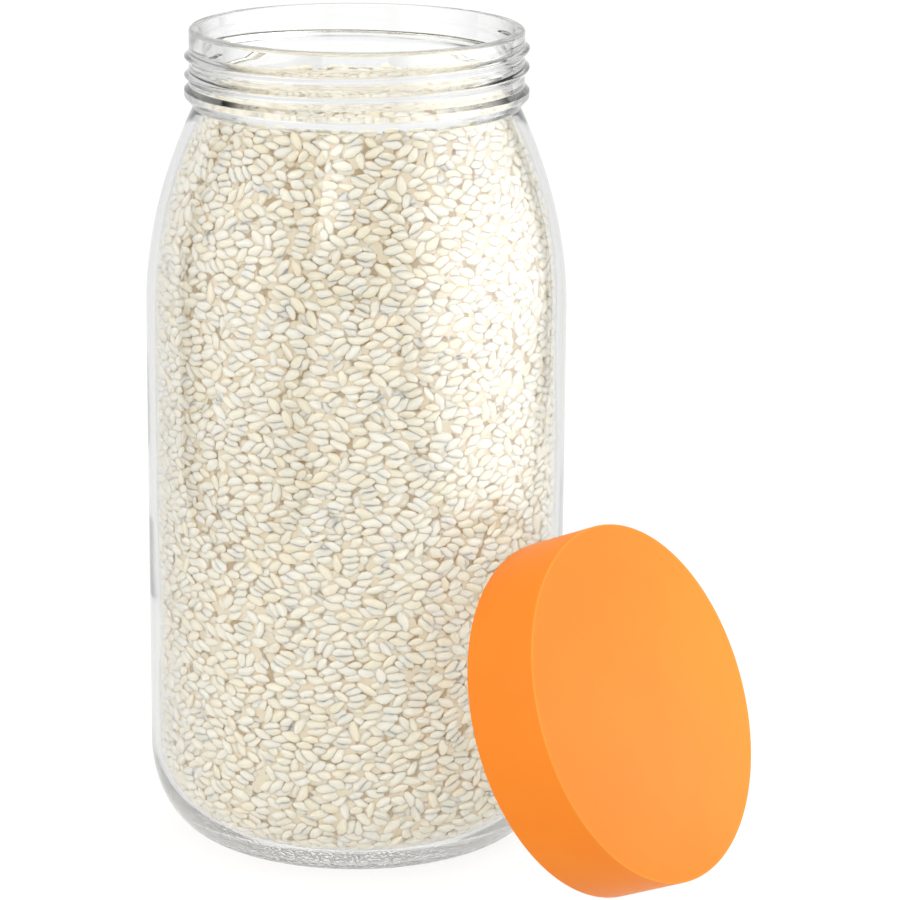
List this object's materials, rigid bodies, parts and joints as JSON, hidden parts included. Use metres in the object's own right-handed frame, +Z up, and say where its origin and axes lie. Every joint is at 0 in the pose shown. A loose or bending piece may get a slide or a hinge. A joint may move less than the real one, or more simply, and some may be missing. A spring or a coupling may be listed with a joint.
{
  "type": "preserving jar",
  "caption": "Tall clear glass preserving jar with a screw neck, filled with rice, its flat plastic screw lid taken off and leaning on the wall.",
  "frame": {"origin": "middle of the common footprint of the jar and its leaning lid, on the surface that they stand on", "axes": "+Z up along the jar, +X from the jar towards the lid that leans on it, the lid leaning in the XZ plane"},
  "size_m": [0.2078, 0.138, 0.2692],
  "materials": {
    "clear_glass": "clear pressed soda-lime glass, smooth, with a stippled bearing ring",
    "rice": "matt white short-grain rice",
    "orange_plastic": "satin moulded plastic",
    "silicone": "matt translucent silicone"
  },
  "bodies": {
    "jar": {"glass_jar": "clear_glass", "rice_fill": "rice"},
    "ring": {"sealing_ring": "silicone"},
    "lid": {"screw_lid": "orange_plastic"}
  },
  "joints": [
    {"name": "lid_lift", "type": "slide", "parent": "jar", "child": "ring", "axis": [0, 0, 1], "range_m": [0, 0.28]},
    {"name": "lid_turn", "type": "hinge", "parent": "ring", "child": "lid", "pos_m": [0.0812, -0.0058, 0.06381], "axis": [0.9198, 0, 0.3923], "continuous": true}
  ]
}
